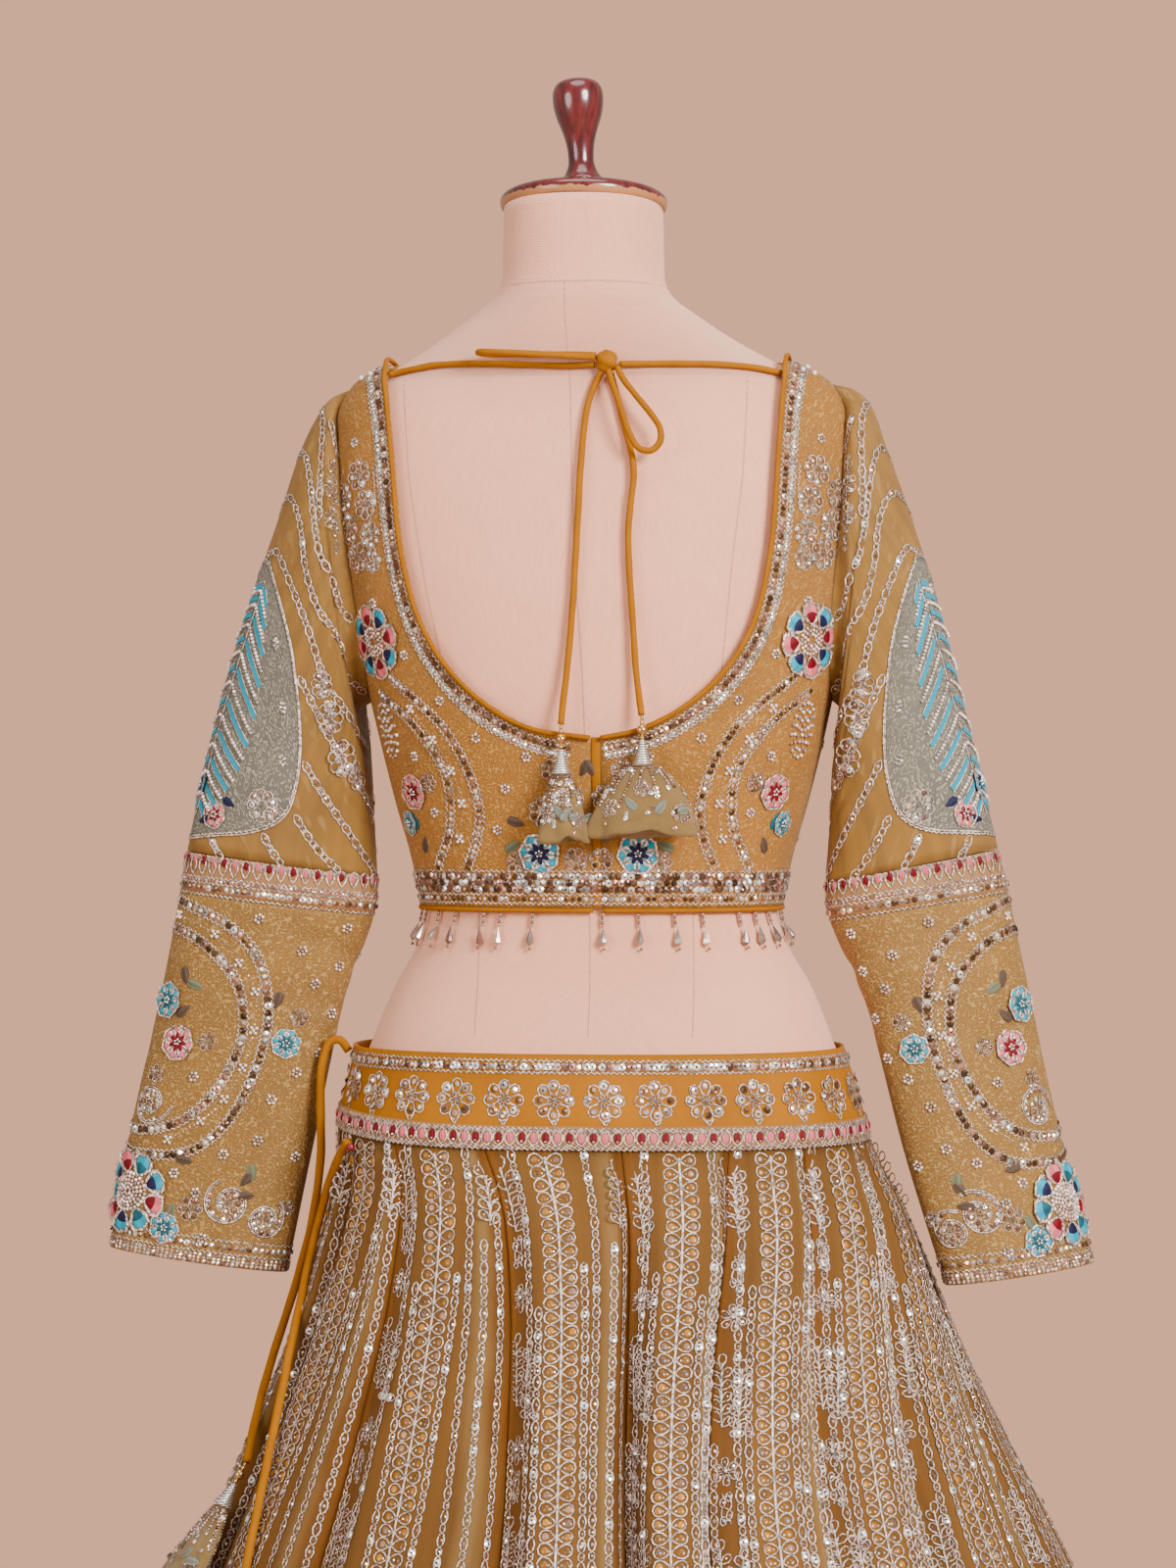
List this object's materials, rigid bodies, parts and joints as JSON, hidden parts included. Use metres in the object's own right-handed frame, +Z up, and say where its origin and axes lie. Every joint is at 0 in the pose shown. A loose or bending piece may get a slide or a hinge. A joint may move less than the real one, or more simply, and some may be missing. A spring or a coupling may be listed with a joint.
{
  "type": "lehenga choli on a dress form",
  "caption": "Embroidered open-backed blouse with long sleeves over a full gored skirt, tied behind the neck and shown on a limbless dress form.",
  "frame": {"origin": "centre of the round foot plate's underside, on the floor", "axes": "+Z up; -Y out of the garment's back; +Y out of its front; +X to the wearer's right"},
  "size_m": [1.1787, 1.1326, 1.7196],
  "materials": {
    "form_cloth": "matt cotton jersey drawn over the form",
    "red_wood": "dark red gloss varnish",
    "stand_metal": "satin black enamel",
    "choli_cloth": "tulle covered with gold squiggle thread, beads and sequins",
    "sleeve_organza": "organza with silver chain stitch",
    "sleeve_band": "band of beads and sequins",
    "sleeve_cloth": "tulle covered with gold squiggle thread and beads",
    "waistband_satin": "satin with silver flowers",
    "waistband_trim": "silver loops round red and pink beads",
    "skirt_organza": "organza with silver cord embroidery",
    "satin_cord": "satin bias tube",
    "crystal_drops": "clear rose crystals on silver bead strands",
    "gilt_bell": "polished gilt",
    "latkan_cloth": "stuffed organza with thread and sequins"
  },
  "bodies": {
    "root": {"back_placket": "satin_cord", "bell_drawstring_back": "gilt_bell", "bell_drawstring_front": "gilt_bell", "bell_neck_left": "gilt_bell", "bell_neck_right": "gilt_bell", "bow_knot": "satin_cord", "bow_loop_left": "satin_cord", "bow_loop_right": "satin_cord", "choli_back_left": "choli_cloth", "choli_back_right": "choli_cloth", "choli_front": "choli_cloth", "drawstring_back": "satin_cord", "drawstring_front": "satin_cord", "finial": "red_wood", "form_torso": "form_cloth", "hem_drops": "crystal_drops", "hem_piping": "satin_cord", "kali_01": "skirt_organza", "kali_02": "skirt_organza", "kali_03": "skirt_organza", "kali_04": "skirt_organza", "kali_05": "skirt_organza", "kali_06": "skirt_organza", "kali_07": "skirt_organza", "kali_08": "skirt_organza", "kali_09": "skirt_organza", "kali_10": "skirt_organza", "kali_11": "skirt_organza", "kali_12": "skirt_organza", "kali_13": "skirt_organza", "kali_14": "skirt_organza", "kali_15": "skirt_organza", "kali_16": "skirt_organza", "neck_cap": "red_wood", "neck_piping": "satin_cord", "neck_tail_left": "satin_cord", "neck_tail_right": "satin_cord", "neck_tie_left": "satin_cord", "neck_tie_right": "satin_cord", "puff_drawstring_back": "latkan_cloth", "puff_drawstring_front": "latkan_cloth", "puff_neck_left": "latkan_cloth", "puff_neck_right": "latkan_cloth", "sleeve_band_left": "sleeve_band", "sleeve_band_right": "sleeve_band", "sleeve_lower_left": "sleeve_cloth", "sleeve_lower_right": "sleeve_cloth", "sleeve_upper_left": "sleeve_organza", "sleeve_upper_right": "sleeve_organza", "stand_base": "stand_metal", "stand_pole": "stand_metal", "waistband": "waistband_satin", "waistband_trim": "waistband_trim"}
  },
  "joints": []
}
